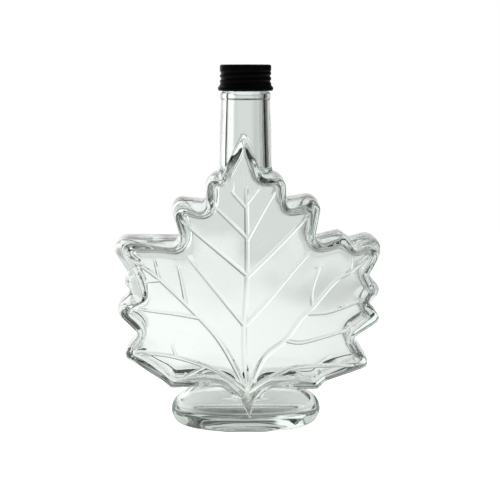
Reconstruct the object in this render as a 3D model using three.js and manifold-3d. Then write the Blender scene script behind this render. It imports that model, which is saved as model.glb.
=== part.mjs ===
// A clear glass bottle in the form of a maple leaf, with a black metal screw cap. Millimetres.
// x runs across the leaf, y through its depth with the veined front towards -y, and z up.
// The origin is the middle of the foot's underside.

import * as THREE from 'three';
import { mergeVertices } from 'three/addons/utils/BufferGeometryUtils.js';
import Module from 'manifold-3d';

// Driving dimensions
const CAP_TOP = 199.4;
const CAP_HEIGHT = 14.2;
const CAP_RADIUS = 14.0;
const CAP_WALL = 0.9;
const HEM_RADIUS = 15.1;
const GROOVE_PITCH = 2.9;
const GROOVE_DEPTH = 0.6;
const GROOVE_COUNT = 3;
const MESH_GAP = 0.3;

const FINISH_RADIUS = 12.4;
const NECK_TOP_RADIUS = 13.2;
const NECK_BASE_RADIUS = 14.2;
const NECK_BASE = 142;
const BORE_TOP_RADIUS = 9.4;
const BORE_BASE_RADIUS = 10.4;
const BORE_FLARE_RADIUS = 13.2;
const BEAD_RADIUS = 13.8;
const BEAD_HEIGHT = 3.2;

const LEAF_DEPTH = 40;
const EDGE_ROUND = 3.5;
const WALL = 3.7;
const CAVITY_ROUND = 3;
const TIP_FADE_START = 137;
const TIP_FADE_TOP = 168;
const TIP_DEPTH = 24;

const FOOT_HALF_WIDTH = 41.8;
const FOOT_HALF_DEPTH = 25;
const FOOT_TOP = 34;
const BASE_THICKNESS = 6;

const VEIN_WIDTH = 2.4;
const VEIN_PROUD = 0.9;
const STEM_HALF_WIDTH = 8.4;
const STEM_THICKNESS = 0.6;
const STEM_TOP = [-0.2, -15.4, 25];
const STEM_END = [2, -24.4, 8.6];

// The leaf's outline at mid depth, anticlockwise from its top tip: x, z and the corner's radius.
const LEAF_CORNERS = [
  [-0.8, 168, 4],
  [-12, 141.2, 1.5],
  [-22, 141.4, 8],
  [-21.8, 125, 2],
  [-42.4, 127.2, 5],
  [-35.8, 104.8, 2.5],
  [-77.2, 105.2, 6],
  [-65.2, 86.3, 3],
  [-67.6, 80.9, 3.8],
  [-63.5, 75.2, 2],
  [-73.4, 65.6, 5],
  [-59.4, 53.8, 2],
  [-69, 39.2, 4.5],
  [-46.2, 27.4, 4],
  [-41.6, 23.2, 4],
  [-11.8, 22.8, 9],
  [-1.5, 11.5, 3.6],
  [4.6, 11, 3.6],
  [11.4, 21.6, 6],
  [39.6, 22, 4],
  [43.6, 26.4, 4],
  [69.2, 35.4, 3.8],
  [59.2, 50.9, 2],
  [75.2, 61.4, 3.8],
  [68.4, 67.6, 1.5],
  [74.9, 76.2, 4],
  [67.2, 85, 2],
  [81, 109.8, 6.5],
  [58.6, 103.4, 2.5],
  [52.6, 107.8, 4],
  [36.8, 103.8, 2],
  [41.4, 129.2, 5.5],
  [22, 126, 2],
  [21.3, 141.2, 8],
  [8.6, 141.2, 2],
];

// The hollow follows the same leaf with fewer and softer corners.
const CAVITY_CORNERS = [
  [-17.6, 137, 4],
  [-17.4, 119.6, 5],
  [-36, 121, 3.6],
  [-29.8, 100.4, 6],
  [-70.5, 100.6, 5],
  [-58, 80, 8],
  [-66.6, 65.4, 4.2],
  [-53.6, 53.6, 5],
  [-62.6, 40.4, 4],
  [-40, 28.6, 8],
  [-24, 27, 8],
  [-20, 20, 4],
  [20, 20, 4],
  [24, 26.6, 8],
  [38.5, 27.4, 8],
  [63, 39.4, 4],
  [53.8, 51, 5],
  [68.4, 61.6, 4.2],
  [62.6, 72, 4],
  [61.8, 84, 6],
  [72.5, 103, 6],
  [55.5, 99.6, 8],
  [31.6, 99.4, 6],
  [36.8, 123.4, 3.6],
  [17.9, 120.8, 5],
  [17.6, 137, 4],
];

// Each vein of the front face: its points along the middle line, x and z.
const VEINS = [
  [[1, 17], [-1.2, 50], [0.4, 88], [0, 134]],
  [[-0.6, 124.3], [-8, 132]],
  [[0, 107.5], [-17, 124]],
  [[0, 87], [-30, 112.3], [-35.4, 118]],
  [[-1.6, 59.5], [-17, 78.6], [-31.5, 96.8]],
  [[0.6, 23], [-13, 48], [-25.4, 63.2], [-46.6, 84.2], [-59, 93.6], [-66, 99.6]],
  [[-25.6, 63.4], [-52, 67.2], [-57.6, 68.2]],
  [[-32.8, 71], [-34, 79], [-36.6, 91.5]],
  [[-47.2, 85], [-49.8, 96]],
  [[-46.8, 84], [-55, 83]],
  [[0.4, 22.4], [-11.7, 30.9], [-22.6, 36.5], [-41.6, 42.2], [-61, 44.3]],
  [[-22.6, 36], [-33, 30.8]],
  [[-38, 43], [-40.6, 49]],
  [[0.2, 126], [7, 134]],
  [[0.3, 106], [10, 123], [15.6, 132]],
  [[0.3, 86], [18.2, 103.1], [34.6, 120.4]],
  [[-0.8, 59.5], [13, 74], [26.4, 90.3], [35, 99.6]],
  [[0.6, 23], [10, 41.2], [21.4, 51], [29.4, 62.2], [36, 69], [48, 83], [56.4, 88.4], [65.4, 96.2]],
  [[36, 69.5], [35.8, 78.5], [39.6, 91]],
  [[56.6, 88.6], [57.2, 95]],
  [[34, 65.6], [45.5, 66.4], [63, 72.6]],
  [[21.4, 50.6], [29.3, 49.3], [40.2, 51.8], [54, 55.8]],
  [[0.6, 21], [8.6, 27.4], [18.4, 32.4], [29.3, 35.7], [60, 36.9]],
  [[27, 34.5], [31, 30.6]],
  [[38, 36.6], [45, 41.8]],
];

const wasm = await Module();
wasm.setup();

// A closed three.js geometry as a solid, and back.
function solid(geometry) {
  geometry.deleteAttribute('normal');
  geometry.deleteAttribute('uv');
  const merged = mergeVertices(geometry, 1e-4);
  const vertProperties = new Float32Array(merged.attributes.position.array);
  const triVerts = new Uint32Array(merged.index.array);
  return new wasm.Manifold(new wasm.Mesh({ numProp: 3, vertProperties, triVerts }));
}

function geometryOf(shape) {
  const { numProp, vertProperties, triVerts } = shape.getMesh();
  const geometry = new THREE.BufferGeometry();
  geometry.setAttribute('position', new THREE.BufferAttribute(vertProperties, numProp));
  geometry.setIndex(new THREE.BufferAttribute(triVerts, 1));
  geometry.computeVertexNormals();
  return geometry;
}

// A closed outline in x and z whose corners are each turned into an arc of their own radius.
function roundedShape(corners) {
  const shape = new THREE.Shape();
  corners.forEach(([x, z, radius], i) => {
    const corner = new THREE.Vector2(x, z);
    const [beforeX, beforeZ] = corners.at(i - 1);
    const [afterX, afterZ] = corners[(i + 1) % corners.length];
    const before = new THREE.Vector2(beforeX, beforeZ).sub(corner).normalize();
    const after = new THREE.Vector2(afterX, afterZ).sub(corner).normalize();
    const half = Math.acos(before.dot(after)) / 2;
    const middle = before.clone().add(after).setLength(radius / Math.sin(half)).add(corner);
    const reach = radius / Math.tan(half);
    const start = before.clone().setLength(reach).add(corner).sub(middle);
    const end = after.clone().setLength(reach).add(corner).sub(middle);
    const clockwise = before.cross(after) > 0;
    shape.absarc(middle.x, middle.y, radius, start.angle(), end.angle(), clockwise);
  });
  return shape;
}

// An outline in x and z pushed out through the depth, with round edges, centred on y = 0.
function plate(shape, depth, round, segments) {
  const geometry = new THREE.ExtrudeGeometry(shape, {
    depth: depth - 2 * round,
    bevelThickness: round,
    bevelSize: round,
    bevelOffset: -round,
    bevelSegments: segments,
    curveSegments: segments,
  });
  geometry.translate(0, 0, round - depth / 2);
  return geometry.rotateX(Math.PI / 2);
}

// A profile of [radius, z] pairs turned about the z axis.
function turned(profile, segments) {
  const points = profile.map(([radius, z]) => new THREE.Vector2(radius, z));
  return new THREE.LatheGeometry(points, segments).rotateX(Math.PI / 2);
}

// One length of vein: a low ridge with a flat top that sinks into the face at both ends.
function ridge([fromX, fromZ], [toX, toZ]) {
  const face = -LEAF_DEPTH / 2;
  const along = new THREE.Vector2(toX - fromX, toZ - fromZ);
  const section = new THREE.Shape();
  section.moveTo(-VEIN_WIDTH / 2, 0.6);
  section.lineTo(-VEIN_WIDTH / 4, -VEIN_PROUD);
  section.lineTo(VEIN_WIDTH / 4, -VEIN_PROUD);
  section.lineTo(VEIN_WIDTH / 2, 0.6);
  const geometry = new THREE.ExtrudeGeometry(section, {
    depth: along.length() + VEIN_WIDTH / 2,
    bevelEnabled: false,
  });
  geometry.rotateY(Math.atan2(along.x, along.y));
  return geometry.translate(fromX, face, fromZ);
}

// Leaf body with its round edges. The top tip leans back until it dies into the neck.
function leafBody() {
  const leaf = solid(plate(roundedShape(LEAF_CORNERS), LEAF_DEPTH, EDGE_ROUND, 3));
  const side = new THREE.Shape();
  side.moveTo(-LEAF_DEPTH / 2, 0);
  side.lineTo(LEAF_DEPTH / 2, 0);
  side.lineTo(LEAF_DEPTH / 2, TIP_FADE_START);
  side.lineTo(TIP_DEPTH / 2, TIP_FADE_TOP);
  side.lineTo(-TIP_DEPTH / 2, TIP_FADE_TOP);
  side.lineTo(-LEAF_DEPTH / 2, TIP_FADE_START);
  const wedge = new THREE.ExtrudeGeometry(side, { depth: 200, bevelEnabled: false });
  wedge.translate(0, 0, -100);
  wedge.rotateX(Math.PI / 2);
  wedge.rotateZ(Math.PI / 2);
  return leaf.intersect(solid(wedge));
}

function neck() {
  const beadTop = CAP_TOP - CAP_HEIGHT - 0.6;
  const beadBase = beadTop - BEAD_HEIGHT;
  const finishTop = CAP_TOP - CAP_WALL - MESH_GAP;
  return solid(turned([
    [0, 120],
    [NECK_BASE_RADIUS, 120],
    [NECK_BASE_RADIUS, NECK_BASE],
    [NECK_TOP_RADIUS, beadBase - 0.6],
    [BEAD_RADIUS, beadBase],
    [BEAD_RADIUS, beadTop - 0.6],
    [BEAD_RADIUS - 0.5, beadTop],
    [FINISH_RADIUS, beadTop],
    [FINISH_RADIUS, finishTop - 0.8],
    [FINISH_RADIUS - 0.8, finishTop],
    [0, finishTop],
  ], 40));
}

// The oval pedestal: heel, rounded side and the waist that the leaf stands on.
function foot() {
  const waist = FOOT_HALF_WIDTH - 11;
  const profile = [
    [0, 0],
    [FOOT_HALF_WIDTH - 5, 0],
    [FOOT_HALF_WIDTH - 2, 2],
    [FOOT_HALF_WIDTH - 0.4, 4.8],
    [FOOT_HALF_WIDTH, 8],
    [FOOT_HALF_WIDTH - 0.6, 11.4],
    [FOOT_HALF_WIDTH - 2.6, 14.4],
    [FOOT_HALF_WIDTH - 6, 17],
    [waist, 19.6],
    [waist - 1, FOOT_TOP],
    [0, FOOT_TOP],
  ];
  return solid(turned(profile, 48).scale(1, FOOT_HALF_DEPTH / FOOT_HALF_WIDTH, 1));
}

// The leaf's stem: a flat spike with hollow sides that runs down over the foot's front.
function stem() {
  const top = new THREE.Vector3(...STEM_TOP);
  const along = new THREE.Vector3(...STEM_END).sub(top);
  const length = along.length();
  const profile = [
    [0, 0],
    [STEM_HALF_WIDTH, 0],
    [STEM_HALF_WIDTH * 0.6, length * 0.26],
    [STEM_HALF_WIDTH * 0.34, length * 0.5],
    [STEM_HALF_WIDTH * 0.17, length * 0.76],
    [0, length],
  ].map(([radius, height]) => new THREE.Vector2(radius, height));
  const geometry = new THREE.LatheGeometry(profile, 16).scale(1, 1, STEM_THICKNESS);
  const turn = new THREE.Quaternion().setFromUnitVectors(new THREE.Vector3(0, 1, 0), along.normalize());
  return solid(geometry.applyQuaternion(turn).translate(top.x, top.y, top.z));
}

// Everything that the bottle holds: leaf-shaped hollow, bore of the neck and hollow of the foot.
function hollow() {
  const body = solid(plate(roundedShape(CAVITY_CORNERS), LEAF_DEPTH - 2 * WALL, CAVITY_ROUND, 2));
  const bore = solid(turned([
    [0, 130],
    [BORE_FLARE_RADIUS, 130],
    [BORE_FLARE_RADIUS, NECK_BASE - 5],
    [BORE_BASE_RADIUS, NECK_BASE],
    [BORE_TOP_RADIUS, CAP_TOP - CAP_HEIGHT],
    [BORE_TOP_RADIUS, CAP_TOP],
    [0, CAP_TOP],
  ], 32));
  const wall = WALL + 1;
  const footHollow = solid(turned([
    [0, BASE_THICKNESS],
    [FOOT_HALF_WIDTH - wall - 5, BASE_THICKNESS],
    [FOOT_HALF_WIDTH - wall - 2, BASE_THICKNESS + 2.5],
    [FOOT_HALF_WIDTH - wall - 3.4, 12.5],
    [FOOT_HALF_WIDTH - wall - 11, 19],
    [FOOT_HALF_WIDTH - wall - 12, 30],
    [0, 30],
  ], 40).scale(1, (FOOT_HALF_DEPTH - wall) / (FOOT_HALF_WIDTH - wall), 1));
  return body.add(bore).add(footHollow);
}

function glassBottle() {
  let glass = leafBody().add(neck()).add(foot()).add(stem());
  for (const vein of VEINS) {
    for (let i = 0; i < vein.length - 1; i += 1) {
      glass = glass.add(solid(ridge(vein[i], vein[i + 1])));
    }
  }
  const material = new THREE.MeshStandardMaterial({
    color: 0xe9efec, roughness: 0.03, metalness: 0, transparent: true, opacity: 0.35,
  });
  const mesh = new THREE.Mesh(geometryOf(glass.subtract(hollow())), material);
  mesh.name = 'glass_bottle';
  return mesh;
}

// Metal cap: plain band under the top, rolled thread grooves and a curled hem, open below.
function cap() {
  const base = CAP_TOP - CAP_HEIGHT;
  const inner = CAP_RADIUS - CAP_WALL;
  const profile = [
    [0, CAP_TOP - CAP_WALL],
    [inner, CAP_TOP - CAP_WALL],
    [inner, base + 0.6],
    [inner + 0.5, base],
    [HEM_RADIUS - 0.5, base],
    [HEM_RADIUS, base + 0.6],
    [HEM_RADIUS, base + 1.2],
    [CAP_RADIUS, base + 2.4],
  ];
  for (let i = 0; i < GROOVE_COUNT; i += 1) {
    const middle = base + 4.2 + i * GROOVE_PITCH;
    profile.push([CAP_RADIUS, middle - 0.9]);
    profile.push([CAP_RADIUS - GROOVE_DEPTH, middle]);
    profile.push([CAP_RADIUS, middle + 0.9]);
  }
  profile.push([CAP_RADIUS, CAP_TOP - 0.7]);
  profile.push([CAP_RADIUS - 0.7, CAP_TOP]);
  profile.push([0, CAP_TOP]);
  const material = new THREE.MeshStandardMaterial({ color: 0x0b0b0c, roughness: 0.45, metalness: 0.2 });
  const mesh = new THREE.Mesh(turned(profile, 40), material);
  mesh.name = 'cap';
  return mesh;
}

const bottle = new THREE.Group();
bottle.add(glassBottle());
bottle.add(cap());

export default bottle;
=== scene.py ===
# A clear glass maple-leaf bottle with a black screw cap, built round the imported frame.
import math

import bpy
import numpy as np
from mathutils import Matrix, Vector


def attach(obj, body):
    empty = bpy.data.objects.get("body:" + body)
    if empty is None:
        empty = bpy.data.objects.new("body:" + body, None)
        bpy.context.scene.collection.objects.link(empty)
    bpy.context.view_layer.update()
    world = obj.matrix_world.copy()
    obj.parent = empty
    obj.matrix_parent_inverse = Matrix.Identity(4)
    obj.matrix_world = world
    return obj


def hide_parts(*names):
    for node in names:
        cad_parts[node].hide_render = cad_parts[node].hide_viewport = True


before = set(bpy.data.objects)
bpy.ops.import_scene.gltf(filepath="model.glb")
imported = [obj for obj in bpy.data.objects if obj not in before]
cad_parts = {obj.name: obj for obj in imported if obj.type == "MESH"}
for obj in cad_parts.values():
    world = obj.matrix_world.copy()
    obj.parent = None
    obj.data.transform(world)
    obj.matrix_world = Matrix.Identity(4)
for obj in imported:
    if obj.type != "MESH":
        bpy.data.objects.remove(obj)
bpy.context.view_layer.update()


# Leaf body
# The real body is one thick leaf of clear flint glass, blown in a mould of two halves.
# Its side walls stand square to the leaf, its edges are fire-rounded, and a fine seam runs round
# the middle where the two halves of the mould met.

# Shapes are worked out in mm. Depths are measured from the plane between the mould's halves.
MM = 0.001
FACE_DEPTH = 20.0
FACE_CROWN = 0.5
# The side wall stands straight up to this depth, and then draws in to the contour.
WALL_DEPTH = 4.0
EDGE_ROWS = 9
# The face's rows, as shares of the border's distance from the leaf's heart.
FACE_SHARES = np.linspace(0.93, 0.1, 9)
LEAF_HEART = np.array([0.5, 75.0])
LEAF_REACH = 72.0
TIP_LEAN_START = 137.0
TIP_LEAN = 0.22
TIP_LEAN_EASE = 3.0
SEAM_PROUD = 0.06
SEAM_HALF = 0.5
SEAM_STEPS = np.array([-1, -0.4, 0, 0.4, 1])
# The most of the shorter edge beside it that a corner's arc may take.
RIM_ARC_SHARE = 1.0
CONTOUR_ARC_SHARE = 0.9
# Corners of the leaf at mid depth, anticlockwise from the top tip: x, z and corner radius in mm.
RIM_CORNERS = [
    (-0.8, 170.5, 4.0),
    (-12.0, 141.2, 1.5),
    (-22.0, 141.4, 8.0),
    (-21.8, 125.0, 2.0),
    (-42.4, 127.2, 5.0),
    (-35.8, 104.8, 2.5),
    (-77.2, 105.2, 6.0),
    (-65.2, 86.3, 3.0),
    (-67.6, 80.9, 3.8),
    (-63.5, 75.2, 2.0),
    (-73.4, 65.6, 5.0),
    (-59.4, 53.8, 2.0),
    (-69.0, 39.2, 4.5),
    (-46.2, 27.4, 4.0),
    (-41.6, 23.2, 4.0),
    (-11.8, 22.8, 9.0),
    (-1.5, 11.5, 2.0),
    (4.6, 11.0, 2.0),
    (11.4, 21.6, 6.0),
    (39.6, 22.0, 4.0),
    (43.6, 26.4, 4.0),
    (69.2, 35.4, 3.8),
    (59.2, 50.9, 2.0),
    (75.2, 61.4, 3.8),
    (68.4, 67.6, 1.5),
    (74.9, 76.2, 4.0),
    (67.2, 85.0, 2.0),
    (81.0, 109.8, 6.5),
    (58.6, 103.4, 2.5),
    (52.6, 107.8, 4.0),
    (36.8, 103.8, 2.0),
    (41.4, 129.2, 5.5),
    (22.0, 126.0, 2.0),
    (21.3, 141.2, 8.0),
    (8.6, 141.2, 2.0),
]
# The contour's distance inside the rim and its depth, and the width of the rounding beyond it.
CONTOUR_INSET = 0.7
CONTOUR_DEPTH = 17.8
EDGE_ROUND = 2.2
FACE_CORNER = 1.2
# Corners of the front's contour, where the wall turns into the face, that lie off the even inset:
# corner number, x, z and corner radius.
FRONT_PLACES = [
    (0, -0.9, 167.5, 2.5),
    (1, -13.5, 138.5, 1.5),
    (2, -20.9, 139.2, 4.9),
    (3, -21.5, 119.7, 4.1),
    (4, -41.8, 127.2, 5.3),
    (5, -33.5, 101.3, 5.1),
    (6, -73.6, 105.7, 4.3),
    (7, -62.1, 90.6, 3.1),
    (8, -60.7, 85.7, 4.9),
    (9, -56.7, 73.9, 1.7),
    (10, -71.8, 66.9, 4.3),
    (11, -58.6, 53.9, 2.1),
    (12, -67.9, 42.0, 3.9),
    (15, -12.6, 24.3, 7.1),
    (16, -2.0, 11.7, 2.9),
    (17, 4.9, 11.3, 2.9),
    (18, 11.7, 23.5, 6.1),
    (24, 67.1, 70.3, 1.1),
    (25, 71.0, 77.0, 3.9),
    (26, 66.8, 86.0, 2.1),
    (28, 59.3, 99.9, 2.1),
    (29, 53.2, 107.4, 3.7),
    (30, 36.4, 102.1, 4.3),
    (31, 41.2, 127.7, 4.1),
    (32, 22.0, 122.2, 2.9),
    (33, 21.2, 139.1, 4.9),
    (34, 8.8, 139.3, 3.1),
]


def drawn_in(corners, width, least_radius):
    """The outline with every edge moved inwards by width, its corners where the edges now cross.

    A convex corner's radius loses the width, down to the least one, and a hollow one gains it."""
    table = np.array(corners)
    corner, radius = table[:, :2], table[:, 2]
    ahead = np.roll(corner, -1, axis=0) - corner
    ahead /= np.linalg.norm(ahead, axis=1, keepdims=True)
    behind = np.roll(ahead, 1, axis=0)
    turn = behind[:, 0] * ahead[:, 1] - behind[:, 1] * ahead[:, 0]
    inward, inward_behind = (np.stack([-edge[:, 1], edge[:, 0]], -1) for edge in (ahead, behind))
    gap = (inward - inward_behind) * width
    along = (gap[:, 0] * ahead[:, 1] - gap[:, 1] * ahead[:, 0]) / turn
    moved = corner + inward_behind * width + behind * along[:, None]
    rounded = np.where(turn > 0, np.maximum(radius - width, least_radius), radius + width)
    return np.column_stack([moved, rounded])


def rounded_outline(corners, most, arc_steps=6, line_steps=4):
    """A closed outline of arcs and straight edges, as (n, 2) points.

    Each corner's arc touches both edges: its middle lies on the corner's bisector at
    radius / sin(half angle), and it turns through pi less the inner angle. An arc takes at most
    the given share of the shorter edge beside it."""
    table = np.array(corners)
    corner, radius = table[:, :2], table[:, 2:]
    before = np.roll(corner, 1, axis=0) - corner
    after = np.roll(corner, -1, axis=0) - corner
    edge = np.linalg.norm(after, axis=1, keepdims=True)
    before /= np.linalg.norm(before, axis=1, keepdims=True)
    after /= edge
    half = np.arccos((before * after).sum(1, keepdims=True)) / 2
    room = np.minimum(edge, np.roll(edge, 1, axis=0)) * most
    radius = np.minimum(radius, room * np.tan(half))
    bisector = before + after
    bisector /= np.linalg.norm(bisector, axis=1, keepdims=True)
    middle = corner + bisector * radius / np.sin(half)
    start = corner + before * radius / np.tan(half) - middle
    side = np.sign(after[:, :1] * before[:, 1:] - after[:, 1:] * before[:, :1])
    turn = side * (np.pi - 2 * half) * np.linspace(0, 1, arc_steps + 1)
    angle = np.arctan2(start[:, 1:], start[:, :1]) + turn
    arc = middle[:, None] + radius[:, None] * np.stack([np.cos(angle), np.sin(angle)], -1)
    share = (np.arange(1, line_steps) / line_steps)[None, :, None]
    line = arc[:, -1:] * (1 - share) + np.roll(arc[:, :1], -1, axis=0) * share
    return np.concatenate([arc, line], axis=1).reshape(-1, 2)


def outward(outline):
    """Unit normals of an anticlockwise outline, from the step between each point's neighbours."""
    step = np.roll(outline, -1, axis=0) - np.roll(outline, 1, axis=0)
    normal = np.stack([step[:, 1], -step[:, 0]], -1)
    return normal / np.linalg.norm(normal, axis=1, keepdims=True)


def face_depth(flat):
    """Distance of the leaf's face from mid depth: a faint crown, leaning back up the top tip."""
    from_heart = np.linalg.norm(flat - LEAF_HEART, axis=-1) / LEAF_REACH
    up = flat[..., 1] - TIP_LEAN_START
    lean = (up + np.hypot(up, TIP_LEAN_EASE)) / 2 * TIP_LEAN
    return FACE_DEPTH + FACE_CROWN * (1 - np.minimum(from_heart, 1) ** 2) - lean


def add_piece(name, rings):
    """A closed surface through rings of points (rows, columns, 3) in mm.

    Each row closes on itself, and the first and last rows are closed by a fan to their mean."""
    rows, columns = rings.shape[:2]
    points = np.concatenate([rings.reshape(-1, 3), rings[0].mean(0)[None], rings[-1].mean(0)[None]])
    first, last = np.full(columns, rows * columns), np.full(columns, rows * columns + 1)
    index = np.arange(rows * columns).reshape(rows, columns)
    right = np.roll(index, -1, axis=1)
    faces = np.stack([index[:-1], right[:-1], right[1:], index[1:]], -1).reshape(-1, 4).tolist()
    faces += np.stack([right[0], index[0], first], -1).tolist()
    faces += np.stack([index[-1], right[-1], last], -1).tolist()
    mesh = bpy.data.meshes.new(name)
    mesh.from_pydata((points * MM).tolist(), [], faces)
    mesh.update()
    piece = bpy.data.objects.new(name, mesh)
    bpy.context.scene.collection.objects.link(piece)
    return piece


def to_rings(flat, depth):
    """Stacks (rows, n, 2) places in x and z with their (rows, n) depths towards the front."""
    return np.stack([flat[..., 0], -depth, flat[..., 1]], -1)


def edge_half(rim, contour, border, wall, contour_depth, depth_of):
    """Rows of one half's edge: square at mid depth, then drawn in to the contour, then rounded.

    The draw-in grows with the square of the share of depth. The rounding is a quarter ellipse
    from the contour to the face's border."""
    share = np.linspace(0, 1, EDGE_ROWS)[:, None]
    lean = depth_of(contour) - depth_of(contour * 0 + LEAF_HEART)
    contour_depth = contour_depth + np.minimum(lean + FACE_CROWN, 0)
    wall_flat = rim + (contour - rim) * (share**2)[..., None]
    wall_depth = wall + (contour_depth - wall) * share
    quarter = np.linspace(0, np.pi / 2, EDGE_ROWS)[1:, None]
    round_flat = border + (contour - border) * np.cos(quarter)[..., None]
    round_depth = contour_depth + (depth_of(border) - contour_depth) * np.sin(quarter)
    return np.concatenate([to_rings(wall_flat, wall_depth), to_rings(round_flat, round_depth)])


def leaf_rings(rim, front, back, wall, contour_depth, depth_of, shares, seam=0.0):
    """Rows from the middle of the back over the edges to the middle of the front.

    Front and back are each a contour and a face's border, and the back is turned to the rear. A
    face row is the border drawn in towards the leaf's heart. A seam stands on the wall at mid
    depth: its height falls with the square of the share of its half width."""
    draw_in = shares[:, None, None]
    halves = []
    for contour, border in (back, front):
        face_flat = LEAF_HEART + (border - LEAF_HEART) * draw_in
        edge_rows = edge_half(rim, contour, border, wall, contour_depth, depth_of)
        halves.append(np.concatenate([edge_rows, to_rings(face_flat, depth_of(face_flat))]))
    seam_share = SEAM_STEPS[:, None]
    seam_flat = rim + outward(rim) * (seam * (1 - np.abs(seam_share)) ** 2)[..., None]
    seam_rows = to_rings(seam_flat, SEAM_HALF * seam_share * np.ones(len(rim)))
    return np.concatenate([halves[0][::-1] * np.array([1, -1, 1]), seam_rows, halves[1]])


def moved_corners(corners, places):
    """A copy of a corner table with some of its rows replaced."""
    table = np.array(corners)
    for number, x, z, radius in places:
        table[number] = (x, z, radius)
    return table


rim = rounded_outline(RIM_CORNERS, RIM_ARC_SHARE)
even_contour = drawn_in(RIM_CORNERS, CONTOUR_INSET, FACE_CORNER)
front_contour = moved_corners(even_contour, FRONT_PLACES)
sides = []
for contour in (front_contour, even_contour):
    border = drawn_in(contour, EDGE_ROUND, FACE_CORNER)
    sides.append([rounded_outline(corners, CONTOUR_ARC_SHARE) for corners in (contour, border)])
leaf = add_piece(
    "leaf_body",
    leaf_rings(rim, *sides, WALL_DEPTH, CONTOUR_DEPTH, face_depth, FACE_SHARES, SEAM_PROUD),
)


# Veins
# Raised ribs on the leaf's front, cut into one mould half, so they are part of the glass.
# They thin towards the margin and die into the face.

# How deep a rib's underside and its edges lie under the face.
VEIN_SINK = 0.8
VEIN_EDGE_SINK = 0.02
VEIN_STEP = 1.2
VEIN_COLUMNS = 13
VEIN_SPREAD = 1.25
VEIN_RISE = 1.2
# Shares of the height and the width that are lost from root to tip.
VEIN_HEIGHT_LOSS = 0.35
VEIN_WIDTH_LOSS = 0.3
# The share of the length over which the tip dies away, the least height there, and the power.
VEIN_TIP_SHARE = 0.12
VEIN_TIP_LEAST = 0.05
VEIN_TIP_POWER = 0.6
# Half width, height, and points along the middle line (x, z), root first, all in mm.
VEINS = [
    (1.5, 1.1, [(1.0, 15), (-1.2, 50), (0.4, 88), (0.0, 134)]),
    (1.0, 0.75, [(-0.3, 123.5), (-8, 132)]),
    (1.1, 0.85, [(0.2, 107.2), (-17, 124)]),
    (1.2, 0.9, [(0.2, 86.8), (-30, 112.3), (-35.8, 118.4)]),
    (1.2, 0.9, [(-1.0, 58.8), (-17, 78.6), (-31.8, 97)]),
    (1.4, 1.0, [(0.8, 22.5), (-13, 48), (-25.4, 63.2), (-46.6, 84.2), (-59, 93.6), (-66.5, 100)]),
    (1.1, 0.8, [(-25.4, 63.2), (-38, 65.4), (-52, 67.2), (-58.5, 68.4)]),
    (1.0, 0.75, [(-32.6, 70.4), (-34.4, 80), (-36.8, 92)]),
    (0.9, 0.7, [(-47.0, 84.4), (-49.8, 96)]),
    (0.9, 0.7, [(-46.4, 84.0), (-55, 83)]),
    (1.3, 0.9, [(0.6, 22.0), (-11.7, 30.9), (-22.6, 36.5), (-41.6, 42.2), (-62, 44.4)]),
    (0.9, 0.7, [(-22.4, 36.2), (-34, 30.6)]),
    (0.9, 0.7, [(-38, 41.4), (-40.8, 49.2)]),
    (1.0, 0.75, [(0.0, 125.4), (7, 134)]),
    (1.1, 0.85, [(0.2, 105.4), (10, 123), (15.8, 132.4)]),
    (1.2, 0.9, [(0.2, 85.6), (18.2, 103.1), (34.8, 120.6)]),
    (1.2, 0.9, [(-0.8, 58.8), (13, 74), (26.4, 90.3), (35.2, 100)]),
    (
        1.4,
        1.0,
        [(0.8, 22.5), (10, 41.2), (21.4, 51), (29.4, 62.2), (36, 69), (48, 83), (56.4, 88.4), (66, 96.6)],
    ),
    (1.0, 0.8, [(36, 68.8), (35.7, 78.5), (39.8, 91.4)]),
    (0.9, 0.7, [(56.2, 88.2), (57.2, 95.6)]),
    (1.1, 0.8, [(33.6, 65.4), (45.5, 66.4), (64, 73)]),
    (1.1, 0.8, [(21.0, 50.6), (29.3, 49.3), (40.2, 51.8), (55, 56.2)]),
    (1.3, 0.9, [(0.6, 21.5), (8.6, 27.4), (18.4, 32.4), (29.3, 35.7), (61, 36.9)]),
    (0.9, 0.7, [(26.4, 34.8), (31.2, 30.4)]),
    (0.9, 0.7, [(37.8, 36.4), (45.4, 42.2)]),
]


def smooth_path(points, step, samples=24, fewest=4):
    """Points step apart along a Catmull-Rom curve through the given points, and how far along.

    Each stretch is the cubic that leaves its start and reaches its end along the lines between
    their neighbours. It is sampled, and the even steps are taken on the samples."""
    knots = np.array(points, float)
    padded = np.concatenate([2 * knots[:1] - knots[1:2], knots, 2 * knots[-1:] - knots[-2:-1]])
    share = np.linspace(0, 1, samples, endpoint=False)[None, :, None]
    before, start, end, after = (padded[i : len(padded) - 3 + i, None] for i in range(4))
    curve = start + share * (end - before) / 2
    curve = curve + share**2 * (before - 2.5 * start + 2 * end - after / 2)
    curve = curve + share**3 * (1.5 * (start - end) + (after - before) / 2)
    dense = np.concatenate([curve.reshape(-1, 2), knots[-1:]])
    along = np.concatenate([[0], np.cumsum(np.linalg.norm(np.diff(dense, axis=0), axis=1))])
    wanted = np.linspace(0, along[-1], max(fewest, int(along[-1] / step)))
    return np.stack([np.interp(wanted, along, dense[:, k]) for k in range(2)], -1), wanted


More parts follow.
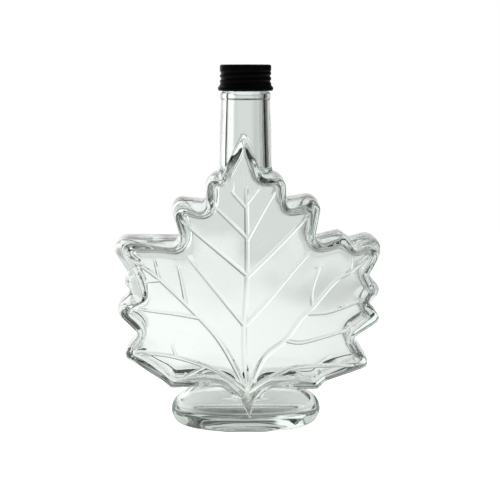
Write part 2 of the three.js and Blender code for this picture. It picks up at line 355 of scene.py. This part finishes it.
def vein_rings(half_width, height, points):
    """A rib along a path: at the share u of its half width its height is (1 - |u|^3)^2.

    It loses height and width evenly from root to tip, and its end dies away."""
    path, along = smooth_path(points, VEIN_STEP)
    ahead = np.gradient(path, axis=0)
    ahead /= np.linalg.norm(ahead, axis=1, keepdims=True)
    across = np.stack([ahead[:, 1], -ahead[:, 0]], -1)
    share = along / along[-1]
    thin = np.clip((1 - share) / VEIN_TIP_SHARE, VEIN_TIP_LEAST, 1) ** VEIN_TIP_POWER
    thin = thin * (1 - VEIN_HEIGHT_LOSS * share)
    aside = np.linspace(-1, 1, VEIN_COLUMNS)
    rise = VEIN_RISE * height * thin[:, None] * (1 - np.abs(aside) ** 3) ** 2
    width = VEIN_SPREAD * half_width * (1 - VEIN_WIDTH_LOSS * share)
    flat = path[:, None] + across[:, None] * (width[:, None] * aside)[..., None]
    under = flat[:, [-1, 0]]
    top_rows = to_rings(flat, face_depth(flat) + rise - VEIN_EDGE_SINK)
    return np.concatenate([top_rows, to_rings(under, face_depth(under) - VEIN_SINK)], axis=1)


glass_extras = [add_piece(f"vein_{i:02d}", vein_rings(*vein)) for i, vein in enumerate(VEINS)]


# Neck and finish
# A round neck, drawn up from the body, with a bead that the cap's hem stops at.
# Above the bead the finish runs up under the cap to the mouth.

# Radius and height.
NECK_PROFILE = [
    (19.0, 130.0),
    (19.0, 135.0),
    (17.8, 138.2),
    (16.0, 140.2),
    (14.8, 141.8),
    (14.3, 144.0),
    (14.2, 149.0),
    (14.1, 156.0),
    (14.0, 163.0),
    (13.8, 169.0),
    (13.45, 174.0),
    (13.3, 180.3),
    (13.35, 180.8),
    (13.8, 181.4),
    (13.85, 182.2),
    (13.8, 183.2),
    (13.6, 184.0),
    (12.9, 184.5),
    (12.4, 185.0),
    (12.4, 197.0),
    (12.1, 197.8),
    (11.4, 198.2),
]


def oval_rings(profile, steps, passes, columns=96):
    """Ellipses about the z axis: a profile of (half width, half depth, z), or (radius, z), eased.

    Each stretch of the profile gets steps rows, and each pass averages every row's values with
    its neighbours' in the ratio 1 : 2 : 1."""
    knots = np.array(profile, float)
    if knots.shape[1] == 2:
        knots = knots[:, [0, 0, 1]]
    wanted = np.linspace(0, len(knots) - 1, (len(knots) - 1) * steps + 1)
    eased = np.stack([np.interp(wanted, np.arange(len(knots)), knots[:, k]) for k in range(3)], -1)
    for _ in range(passes):
        eased[1:-1] = (eased[:-2] + 2 * eased[1:-1] + eased[2:]) / 4
    half_width, half_depth, height = eased.T[..., None]
    turn = np.linspace(0, 2 * np.pi, columns, endpoint=False)
    return np.stack([half_width * np.cos(turn), half_depth * np.sin(turn), height * np.ones(columns)], -1)


glass_extras.append(add_piece("neck", oval_rings(NECK_PROFILE, steps=5, passes=4)))


# Foot and stem
# The oval foot is pressed with the body. A faint seam at its widest line is where the mould's
# bottom plate met the two halves. The leaf's stem runs down its front in relief.

# Half width, half depth and height.
FOOT_PROFILE = [
    (36.8, 23.4, 0.0),
    (38.6, 24.2, 0.9),
    (40.0, 24.6, 2.4),
    (41.3, 24.9, 4.8),
    (41.75, 25.0, 7.4),
    (41.8, 25.0, 7.9),
    (41.7, 24.9, 8.4),
    (41.2, 24.5, 11.4),
    (39.4, 23.3, 14.4),
    (36.2, 21.4, 17.0),
    (32.6, 19.2, 18.9),
    (30.6, 17.6, 20.6),
    (30.0, 16.6, 23.0),
    (29.6, 16.2, 32.0),
]
# The stem's middle x, its front's half width, its foot's extra width, its depth and height.
STEM_POINTS = [
    (-0.4, 12.0, 4.0, 18.6, 27.5),
    (-0.2, 8.4, 3.4, 20.3, 24.0),
    (0.1, 5.0, 3.0, 21.4, 20.0),
    (0.6, 2.6, 2.4, 23.9, 16.0),
    (1.3, 1.3, 1.7, 25.3, 12.0),
    (1.8, 0.6, 1.0, 25.6, 9.4),
    (2.0, 0.2, 0.4, 25.2, 8.2),
]
STEM_BACK = 8.0
STEM_BULGE = 0.2
STEM_POWER = 2 / 3
STEM_ROWS = 44
STEM_PASSES = 6
STEM_COLUMNS = 40

foot_rings = oval_rings(FOOT_PROFILE, steps=5, passes=6, columns=112)
glass_extras.append(add_piece("foot", foot_rings))


def stem_rings():
    """A tapering tongue: across it the depth is a superellipse, nearly flat at its hidden back.

    At the angle t the reach aside is cos(t) and the reach forwards sin(t), both to the stem's
    power. The points are eased down the stem by averages in the ratio 1 : 2 : 1."""
    knots = np.array(STEM_POINTS)
    share = np.linspace(0, 1, STEM_ROWS)
    knot_share = np.linspace(0, 1, len(knots))
    place = np.stack([np.interp(share, knot_share, column) for column in knots.T], -1)
    for _ in range(STEM_PASSES):
        place[1:-1] = (place[:-2] + 2 * place[1:-1] + place[2:]) / 4
    middle, half, extra, depth, height = place.T[..., None]
    turn = np.linspace(0, 2 * np.pi, STEM_COLUMNS, endpoint=False)
    aside = np.sign(np.cos(turn)) * np.abs(np.cos(turn)) ** STEM_POWER
    bulge = np.abs(np.sin(turn)) ** STEM_POWER
    forward = np.where(turn < np.pi, bulge, np.sin(turn) * STEM_BULGE)
    x = middle + (half + extra) * aside
    y = -STEM_BACK - (depth - STEM_BACK) * forward
    return np.stack([x, y, height * np.ones(STEM_COLUMNS)], -1)[::-1]


glass_extras.append(add_piece("stem", stem_rings()))


# Hollow
# The inside follows the leaf more softly than the outside does, because the glass was blown
# against the mould: it is thickest in the corners, round the foot and up the neck.

# Depths of the inner face, of the straight part of the inner wall and of the inner contour.
HOLLOW_DEPTH = 16.4
HOLLOW_WALL = 5.0
HOLLOW_CONTOUR = 13.4
HOLLOW_SHARES = np.linspace(0.92, 0.04, 16)
# The glass's thickness at the side walls.
SIDE_WALL = 2.7
HOLLOW_CORNER = 3.0
HOLLOW_ROUND = 2.6
HOLLOW_ARC_SHARE = 0.48
# The corner that ends the hollow in the top tip: its number, x, z and radius.
INNER_TIP = [(0, -0.9, 159.5, 1.5)]
# Waves of the glass: height, lengths along x and z over two pi, and where the broad one starts.
BROAD_FACE_WAVE = (0.18, 9.0, 11.0, 0.6)
FINE_FACE_WAVE = (0.09, 5.3, 7.1)
RISING_WAVE = (0.5, 4.3, 9.1)
FALLING_WAVE = (0.4, 8.3, 3.7)
WAVE_HEIGHT = 0.9
RIM_PHASE = 0.0
FRONT_PHASE = 1.2
BACK_PHASE = 2.2
# Radius and height.
BORE_PROFILE = [
    (11.2, 128.0),
    (11.2, 137.0),
    (10.9, 142.0),
    (10.7, 149.0),
    (10.4, 158.0),
    (10.2, 166.0),
    (9.9, 180.0),
    (9.4, 190.0),
    (9.4, 197.0),
    (9.6, 200.6),
]
# Half width, half depth and height.
FOOT_HOLLOW_PROFILE = [
    (28.0, 12.0, 6.2),
    (32.4, 15.6, 6.6),
    (35.6, 18.8, 8.2),
    (36.6, 20.0, 10.4),
    (35.4, 19.2, 12.8),
    (32.2, 17.0, 15.2),
    (28.6, 14.6, 17.6),
    (26.4, 13.0, 20.4),
    (25.8, 12.6, 24.0),
    (26.4, 13.2, 30.0),
]


def hollow_depth(flat):
    """Distance of the inner face from mid depth: crowned like the outside and faintly uneven.

    The broad wave is a product of sines of x and z, and the fine one runs across both."""
    x, z = flat[..., 0], flat[..., 1]
    rise, along_x, along_z, start = BROAD_FACE_WAVE
    broad = rise * np.sin(x / along_x + start) * np.sin(z / along_z)
    rise, along_x, along_z = FINE_FACE_WAVE
    fine = rise * np.sin(x / along_x - z / along_z)
    return HOLLOW_DEPTH + face_depth(flat) - FACE_DEPTH + (broad + fine)


def wavy(outline, phase):
    """An outline whose distance from the mould wanders: two crossing waves along its normal."""
    x, z = outline.T
    rise, along_x, along_z = RISING_WAVE
    rising = rise * np.sin(x / along_x + z / along_z + phase)
    rise, along_x, along_z = FALLING_WAVE
    falling = rise * np.sin(x / along_x - z / along_z + 2 * phase)
    return outline + outward(outline) * (WAVE_HEIGHT * (rising + falling))[:, None]


inner_corners = drawn_in(RIM_CORNERS, SIDE_WALL, HOLLOW_CORNER)
inner_rim = wavy(rounded_outline(inner_corners, HOLLOW_ARC_SHARE), RIM_PHASE)
inner_sides = []
for contour, phase in ((front_contour, FRONT_PHASE), (even_contour, BACK_PHASE)):
    inner_contour = moved_corners(drawn_in(contour, SIDE_WALL, HOLLOW_CORNER), INNER_TIP)
    inner_border = drawn_in(inner_contour, HOLLOW_ROUND, HOLLOW_CORNER)
    outlines = [rounded_outline(corners, HOLLOW_ARC_SHARE) for corners in (inner_contour, inner_border)]
    inner_sides.append([wavy(outline, phase) for outline in outlines])
hollow = add_piece(
    "hollow_leaf",
    leaf_rings(inner_rim, *inner_sides, HOLLOW_WALL, HOLLOW_CONTOUR, hollow_depth, HOLLOW_SHARES),
)
hollow_extras = [
    add_piece("hollow_bore", oval_rings(BORE_PROFILE, steps=6, passes=8)),
    add_piece("hollow_foot", oval_rings(FOOT_HOLLOW_PROFILE, steps=6, passes=6, columns=128)),
]


# Fusing the glass
# The real bottle leaves the mould as one piece of glass. So its outer shapes are joined here, and
# the hollow and the shallow recess under the foot are cut from them.

GLASS_SHARP_ANGLE = math.radians(28)
# The hollow's even mesh, how strongly and how often it is smoothed, and the share of faces kept.
HOLLOW_STEP = 0.7
HOLLOW_SOFTENING = 0.5
HOLLOW_PASSES = 30
HOLLOW_KEPT = 0.4
# Half width, half depth and height.
FOOT_RECESS_PROFILE = [
    (31.0, 17.6, -0.6),
    (30.4, 17.0, 0.3),
    (28.0, 15.2, 1.2),
    (22.0, 11.6, 1.9),
    (10.0, 5.0, 2.3),
    (1.0, 0.6, 2.4),
]


def apply_modifiers(piece):
    """Puts the modifiers' result into the piece's mesh and takes them off."""
    graph = bpy.context.evaluated_depsgraph_get()
    mesh = bpy.data.meshes.new_from_object(piece.evaluated_get(graph))
    piece.modifiers.clear()
    piece.data = mesh


def fuse(piece, operation, others):
    """Applies one Boolean with a collection of pieces, which are then removed."""
    group = bpy.data.collections.new("fused")
    for other in others:
        group.objects.link(other)
    boolean = piece.modifiers.new("fuse", "BOOLEAN")
    boolean.operation = operation
    boolean.solver = "MANIFOLD"
    boolean.operand_type = "COLLECTION"
    boolean.collection = group
    apply_modifiers(piece)
    for other in others:
        bpy.data.objects.remove(other)
    bpy.data.collections.remove(group)


def soften(piece):
    """Gives the hollow the even, rounded surface of blown glass.

    An even mesh is smoothed, and then its flat parts are left with fewer and larger faces."""
    remesh = piece.modifiers.new("even", "REMESH")
    remesh.mode = "VOXEL"
    remesh.voxel_size = HOLLOW_STEP * MM
    smooth = piece.modifiers.new("soft", "SMOOTH")
    smooth.factor = HOLLOW_SOFTENING
    smooth.iterations = HOLLOW_PASSES
    thin = piece.modifiers.new("thin", "DECIMATE")
    thin.ratio = HOLLOW_KEPT
    apply_modifiers(piece)


fuse(hollow, "UNION", hollow_extras)
soften(hollow)
fuse(leaf, "UNION", glass_extras)
recess = add_piece("foot_recess", oval_rings(FOOT_RECESS_PROFILE, steps=5, passes=4))
fuse(leaf, "DIFFERENCE", [hollow, recess])
leaf.name = "bottle_glass"
leaf.data.name = "bottle_glass"
leaf.data.shade_smooth()
leaf.data.set_sharp_from_angle(angle=GLASS_SHARP_ANGLE)


# Glass
# Clear flint glass with a trace of green that grows with its thickness. Its surface is polished by
# fire, so it has no grain, only the faint waves that the mould leaves.

GLASS_TINT = (0.976, 1.0, 0.982, 1)
GLASS_INDEX = 1.52
GLASS_DEPTH_COLOUR = (0.918, 0.938, 0.924, 1)
GLASS_DENSITY = 75.0
MOULD_WAVES = 90.0
MOULD_WAVE_DETAIL = 1.0
MOULD_WAVE_STRENGTH = 0.05
MOULD_WAVE_HEIGHT = 0.0004


def new_material(name):
    """A material with the nodes, links and main shader of its tree."""
    material = bpy.data.materials.new(name)
    material.use_nodes = True
    nodes = material.node_tree.nodes
    return material, nodes, material.node_tree.links, nodes["Principled BSDF"]


def flint_glass():
    """A smooth refracting surface over a body that absorbs light evenly along its way."""
    material, nodes, links, shader = new_material("flint_glass")
    shader.inputs["Base Color"].default_value = GLASS_TINT
    shader.inputs["Roughness"].default_value = 0.0
    shader.inputs["IOR"].default_value = GLASS_INDEX
    shader.inputs["Transmission Weight"].default_value = 1.0
    place = nodes.new("ShaderNodeTexCoord")
    waves = nodes.new("ShaderNodeTexNoise")
    waves.inputs["Scale"].default_value = MOULD_WAVES
    waves.inputs["Detail"].default_value = MOULD_WAVE_DETAIL
    bump = nodes.new("ShaderNodeBump")
    bump.inputs["Strength"].default_value = MOULD_WAVE_STRENGTH
    bump.inputs["Distance"].default_value = MOULD_WAVE_HEIGHT
    links.new(place.outputs["Object"], waves.inputs["Vector"])
    links.new(waves.outputs["Fac"], bump.inputs["Height"])
    links.new(bump.outputs["Normal"], shader.inputs["Normal"])
    depth = nodes.new("ShaderNodeVolumeAbsorption")
    depth.inputs["Color"].default_value = GLASS_DEPTH_COLOUR
    depth.inputs["Density"].default_value = GLASS_DENSITY
    links.new(depth.outputs["Volume"], nodes["Material Output"].inputs["Volume"])
    return material


leaf.data.materials.clear()
leaf.data.materials.append(flint_glass())
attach(leaf, "root")
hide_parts("glass_bottle")


# Screw cap
# Thin black-lacquered aluminium, rolled onto the thread: a plain band at the top, a helical
# groove and a curled hem. It is one thin shell, open below, that ends just above the neck's bead.

# Where the thread's groove starts, ends and fades, and its pitch, depth and narrowness.
THREAD_START = 188.9
THREAD_END = 196.4
THREAD_FADE = 1.0
THREAD_PITCH = 2.9
THREAD_DEPTH = 0.62
THREAD_POWER = 1.6
CAP_COLUMNS = 192
CAP_INNER_ROWS = 60
CAP_OUTER_ROWS = 150
CAP_PASSES = 3
CAP_SHARP_ANGLE = math.radians(40)
# Radius and height, from the middle of the top down the inside and up the outside again.
CAP_INNER = [
    (0.3, 198.5),
    (12.9, 198.5),
    (12.95, 189.0),
    (13.3, 187.6),
    (13.7, 186.4),
    (13.9, 185.5),
]
CAP_OUTER = [
    (14.6, 185.3),
    (15.05, 185.9),
    (15.15, 186.6),
    (14.95, 187.3),
    (14.35, 187.9),
    (14.0, 188.4),
    (14.0, 198.6),
    (13.8, 199.15),
    (13.3, 199.4),
    (0.3, 199.4),
]
LACQUER_DARK = (0.0008, 0.0008, 0.0009, 1)
LACQUER_PALE = (0.0025, 0.0025, 0.0028, 1)
LACQUER_SPECULAR = 0.05
LACQUER_ROUGHNESS = (0.34, 0.46)
LACQUER_GRAIN = 900.0
LACQUER_GRAIN_DETAIL = 3.0
LACQUER_BUMP = 0.08
LACQUER_BUMP_HEIGHT = 0.0001


def smooth_profile(points, rows):
    """Even steps along a profile, eased round its corners by averages in the ratio 1 : 2 : 1."""
    knots = np.array(points)
    along = np.concatenate([[0], np.cumsum(np.linalg.norm(np.diff(knots, axis=0), axis=1))])
    wanted = np.linspace(0, along[-1], rows)
    profile = np.stack([np.interp(wanted, along, column) for column in knots.T], -1)
    for _ in range(CAP_PASSES):
        profile[1:-1] = (profile[:-2] + 2 * profile[1:-1] + profile[2:]) / 4
    return profile


def cap_rings():
    """The turned cap wall, with a groove that climbs one pitch a turn and fades at both ends.

    The groove is half of 1 - cos(turns along the thread), to the thread's power."""
    inner, outer = smooth_profile(CAP_INNER, CAP_INNER_ROWS), smooth_profile(CAP_OUTER, CAP_OUTER_ROWS)
    radius, height = np.concatenate([inner, outer]).T[..., None]
    turn = np.linspace(0, 2 * np.pi, CAP_COLUMNS, endpoint=False)
    climb = (height - THREAD_START) / THREAD_PITCH - turn / (2 * np.pi)
    wave = 0.5 - 0.5 * np.cos(2 * np.pi * climb)
    fade = np.clip((height - THREAD_START) / THREAD_FADE, 0, 1)
    fade = fade * np.clip((THREAD_END - height) / THREAD_FADE, 0, 1)
    outside = np.arange(len(height))[:, None] >= CAP_INNER_ROWS
    spun = radius - THREAD_DEPTH * wave**THREAD_POWER * fade * outside
    return np.stack([spun * np.cos(turn), spun * np.sin(turn), height * np.ones(CAP_COLUMNS)], -1)


def black_lacquer():
    """Satin black whose depth, gloss and surface vary a little with one fine grain."""
    material, nodes, links, shader = new_material("black_lacquer")
    shader.inputs["Metallic"].default_value = 0.0
    shader.inputs["Specular IOR Level"].default_value = LACQUER_SPECULAR
    place = nodes.new("ShaderNodeTexCoord")
    grain = nodes.new("ShaderNodeTexNoise")
    grain.inputs["Scale"].default_value = LACQUER_GRAIN
    grain.inputs["Detail"].default_value = LACQUER_GRAIN_DETAIL
    gloss = nodes.new("ShaderNodeMapRange")
    gloss.inputs["To Min"].default_value = LACQUER_ROUGHNESS[0]
    gloss.inputs["To Max"].default_value = LACQUER_ROUGHNESS[1]
    colour = nodes.new("ShaderNodeMix")
    colour.data_type = "RGBA"
    colour.inputs["A"].default_value = LACQUER_DARK
    colour.inputs["B"].default_value = LACQUER_PALE
    bump = nodes.new("ShaderNodeBump")
    bump.inputs["Strength"].default_value = LACQUER_BUMP
    bump.inputs["Distance"].default_value = LACQUER_BUMP_HEIGHT
    links.new(place.outputs["Object"], grain.inputs["Vector"])
    links.new(grain.outputs["Fac"], gloss.inputs["Value"])
    links.new(gloss.outputs["Result"], shader.inputs["Roughness"])
    links.new(grain.outputs["Fac"], colour.inputs["Factor"])
    links.new(colour.outputs["Result"], shader.inputs["Base Color"])
    links.new(grain.outputs["Fac"], bump.inputs["Height"])
    links.new(bump.outputs["Normal"], shader.inputs["Normal"])
    return material


cap = add_piece("screw_cap", cap_rings())
cap.data.shade_smooth()
cap.data.set_sharp_from_angle(angle=CAP_SHARP_ANGLE)
cap.data.materials.append(black_lacquer())
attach(cap, "root")
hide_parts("cap")


# Floor
# A white sweep under and behind the bottle, brightest in a pool of light behind it to the left.
# Soft shades lie under the front of its foot, close behind the foot, and further back on both
# sides. The sweep fades out into the tent's light at its rim.

# Distances on the floor are in metres.
FLOOR_MIDDLE = (0.0, 0.0, 0.0)
FLOOR_FADE_START = 0.35
FLOOR_RADIUS = 0.9
FLOOR_CORNERS = 96
FLOOR_COLOUR = (0.5, 0.5, 0.5, 1)
FLOOR_ROUGHNESS = 0.9
FLOOR_GLOW = 0.46
# The camera itself sees a plain white floor; the rest of the glow is what the glass shows of it.
SEEN_GLOW = 1.2
POOL_MIDDLE = (-0.20, 0.25, 0.0)
POOL_RADIUS = 0.65
POOL_GLOW = 0.60
# Middle, start and end radius, and what share of the glow each soft shade leaves.
SHADES = [
    ((-0.014, -0.006, 0.0), 0.006, 0.035, 0.15),
    ((0.0135, -0.006, 0.0), 0.006, 0.034, 0.3),
    ((0.0, 0.05, 0.0), 0.02, 0.07, 0.75),
    ((0.125, 0.44, 0.0), 0.02, 0.13, 0.65),
    ((-0.22, 0.2, 0.0), 0.08, 0.18, 0.6),
]


def eased_distance(nodes, links, place, middle, start, end):
    """1 within start metres of a point, eased down to 0 at end metres."""
    distance = nodes.new("ShaderNodeVectorMath")
    distance.operation = "DISTANCE"
    distance.inputs[1].default_value = middle
    ease = nodes.new("ShaderNodeMapRange")
    ease.interpolation_type = "SMOOTHSTEP"
    ease.inputs["From Min"].default_value = start
    ease.inputs["From Max"].default_value = end
    ease.inputs["To Min"].default_value = 1.0
    ease.inputs["To Max"].default_value = 0.0
    links.new(place, distance.inputs[0])
    links.new(distance.outputs["Value"], ease.inputs["Value"])
    return ease.outputs["Result"]


def math_node(nodes, links, operation, *values):
    """The output of one operation on numbers and other nodes' outputs."""
    node = nodes.new("ShaderNodeMath")
    node.operation = operation
    for socket, value in zip(node.inputs, values):
        if isinstance(value, (int, float)):
            socket.default_value = value
        else:
            links.new(value, socket)
    return node.outputs["Value"]


def add_floor():
    """A flat disc whose glow is a low level plus the pool, times each of the shades."""
    turn = np.linspace(0, 2 * np.pi, FLOOR_CORNERS, endpoint=False)
    circle = np.stack([np.cos(turn), np.sin(turn), 0 * turn], -1) * FLOOR_RADIUS
    mesh = bpy.data.meshes.new("floor")
    mesh.from_pydata(circle.tolist(), [], [tuple(range(FLOOR_CORNERS))])
    floor = bpy.data.objects.new("floor", mesh)
    bpy.context.scene.collection.objects.link(floor)
    material, nodes, links, shader = new_material("white_sweep")
    shader.inputs["Base Color"].default_value = FLOOR_COLOUR
    shader.inputs["Roughness"].default_value = FLOOR_ROUGHNESS
    shader.inputs["Specular IOR Level"].default_value = 0.0
    shader.inputs["Emission Strength"].default_value = 1.0
    place = nodes.new("ShaderNodeTexCoord").outputs["Object"]
    pool = eased_distance(nodes, links, place, POOL_MIDDLE, 0.0, POOL_RADIUS)
    glow = math_node(nodes, links, "MULTIPLY_ADD", pool, POOL_GLOW, FLOOR_GLOW)
    for middle, start, end, left in SHADES:
        shade = eased_distance(nodes, links, place, middle, start, end)
        dim = math_node(nodes, links, "MULTIPLY_ADD", shade, left - 1, 1.0)
        glow = math_node(nodes, links, "MULTIPLY", glow, dim)
    direct = nodes.new("ShaderNodeLightPath")
    seen = nodes.new("ShaderNodeMix")
    seen.inputs["B"].default_value = SEEN_GLOW
    links.new(glow, seen.inputs["A"])
    links.new(direct.outputs["Is Camera Ray"], seen.inputs["Factor"])
    links.new(seen.outputs["Result"], shader.inputs["Emission Color"])
    rim_fade = eased_distance(nodes, links, place, FLOOR_MIDDLE, FLOOR_FADE_START, FLOOR_RADIUS)
    links.new(rim_fade, shader.inputs["Alpha"])
    mesh.materials.append(material)


add_floor()


# Studio light
# A light tent: its wall, softboxes and black flags are all in the world's light, and the camera
# itself sees plain white. The flags draw the dark lines along the edges of clear glass.

TENT_LIGHT = 0.78
SEEN_LIGHT = 1.0
# Middle azimuth (0 is behind the bottle, 90 its right), half width, middle elevation, half height,
# soft edge, all in degrees, and light. Later panels lie over earlier ones.
PANELS = [
    (0.0, 360.0, 62.0, 38.0, 10.0, 0.38),
    (180.0, 70.0, -36.0, 54.0, 14.0, 0.46),
    (180.0, 66.0, 60.0, 42.0, 14.0, 0.07),
    (-10.0, 9.5, -9.8, 1.6, 1.8, 1.2),
    (7.0, 9.0, -10.0, 1.6, 1.8, 1.2),
    (-28.0, 18.5, 3.0, 27.0, 6.0, 1.25),
    (11.0, 5.0, 0.0, 22.0, 6.0, 0.66),
    (20.0, 5.0, 0.0, 30.0, 6.0, 0.50),
    (44.0, 18.5, 10.0, 45.0, 5.0, 0.12),
    (55.0, 8.5, 10.0, 45.0, 3.0, 0.0),
    (78.0, 14.0, 10.0, 45.0, 5.0, 0.15),
    (-59.5, 11.0, 10.0, 45.0, 4.0, 0.0),
    (122.0, 9.0, 20.0, 45.0, 6.0, 0.0),
    (-122.0, 9.0, 20.0, 45.0, 6.0, 0.0),
    (6.0, 18.0, 14.5, 3.0, 4.0, 0.1),
    (-5.0, 6.5, 28.0, 6.0, 4.0, 0.03),
    (-9.0, 2.5, -14.0, 8.0, 2.0, 0.3),
]


def set_studio():
    """Each panel replaces the tent's light inside its window: 1 in it, eased to 0 past its edge."""
    world = bpy.data.worlds.new("studio")
    world.use_nodes = True
    nodes, links = world.node_tree.nodes, world.node_tree.links
    background = nodes["Background"]
    direction = nodes.new("ShaderNodeTexCoord")
    split = nodes.new("ShaderNodeSeparateXYZ")
    links.new(direction.outputs["Generated"], split.inputs["Vector"])
    azimuth = math_node(nodes, links, "ARCTAN2", split.outputs["X"], split.outputs["Y"])
    elevation = math_node(nodes, links, "ARCSINE", split.outputs["Z"])
    light = TENT_LIGHT
    for middle, half_width, height, half_height, soft, value in PANELS:
        turned = math_node(nodes, links, "SUBTRACT", azimuth, math.radians(middle))
        turned = math_node(nodes, links, "WRAP", turned, math.pi, -math.pi)
        lifted = math_node(nodes, links, "SUBTRACT", elevation, math.radians(height))
        windows = []
        for offset, half in ((turned, half_width), (lifted, half_height)):
            away = math_node(nodes, links, "ABSOLUTE", offset)
            edge = nodes.new("ShaderNodeMapRange")
            edge.interpolation_type = "SMOOTHSTEP"
            edge.inputs["From Min"].default_value = math.radians(half - soft / 2)
            edge.inputs["From Max"].default_value = math.radians(half + soft / 2)
            edge.inputs["To Min"].default_value = 1.0
            edge.inputs["To Max"].default_value = 0.0
            links.new(away, edge.inputs["Value"])
            windows.append(edge.outputs["Result"])
        window = math_node(nodes, links, "MULTIPLY", *windows)
        mix = nodes.new("ShaderNodeMix")
        mix.inputs["B"].default_value = value
        if isinstance(light, float):
            mix.inputs["A"].default_value = light
        else:
            links.new(light, mix.inputs["A"])
        links.new(window, mix.inputs["Factor"])
        light = mix.outputs["Result"]
    direct = nodes.new("ShaderNodeLightPath")
    seen = nodes.new("ShaderNodeMix")
    seen.inputs["B"].default_value = SEEN_LIGHT
    links.new(direct.outputs["Is Camera Ray"], seen.inputs["Factor"])
    links.new(light, seen.inputs["A"])
    links.new(seen.outputs["Result"], background.inputs["Color"])
    bpy.context.scene.world = world


set_studio()


# Camera
# It stands just left of the middle and a little above the cap, and looks slightly down.
# The lens is given by its length in the photograph's pixels.

CAMERA_DISTANCE = 0.760
CAMERA_HEIGHT = 0.207
CAMERA_AZIMUTH = math.radians(-1.0)
CAMERA_PAN = math.radians(-1.183)
CAMERA_PITCH = math.radians(8.2)
FOCAL_PIXELS = 1385.0
FRAME_PIXELS = 500.0
SENSOR = 36.0
LIGHT_BOUNCES = 40
GLOSS_BOUNCES = 14
GLASS_BOUNCES = 24

camera_data = bpy.data.cameras.new("camera")
camera_data.sensor_width = SENSOR
camera_data.lens = FOCAL_PIXELS / FRAME_PIXELS * SENSOR
camera = bpy.data.objects.new("camera", camera_data)
bpy.context.scene.collection.objects.link(camera)
camera.location = (
    CAMERA_DISTANCE * math.sin(CAMERA_AZIMUTH),
    -CAMERA_DISTANCE * math.cos(CAMERA_AZIMUTH),
    CAMERA_HEIGHT,
)
level = math.cos(CAMERA_PITCH)
ahead = (-math.sin(CAMERA_PAN) * level, math.cos(CAMERA_PAN) * level, -math.sin(CAMERA_PITCH))
camera.rotation_euler = Vector(ahead).to_track_quat("-Z", "Y").to_euler()
bpy.context.scene.camera = camera
bpy.context.scene.view_settings.view_transform = "Standard"
bpy.context.scene.cycles.max_bounces = LIGHT_BOUNCES
bpy.context.scene.cycles.glossy_bounces = GLOSS_BOUNCES
bpy.context.scene.cycles.transmission_bounces = GLASS_BOUNCES
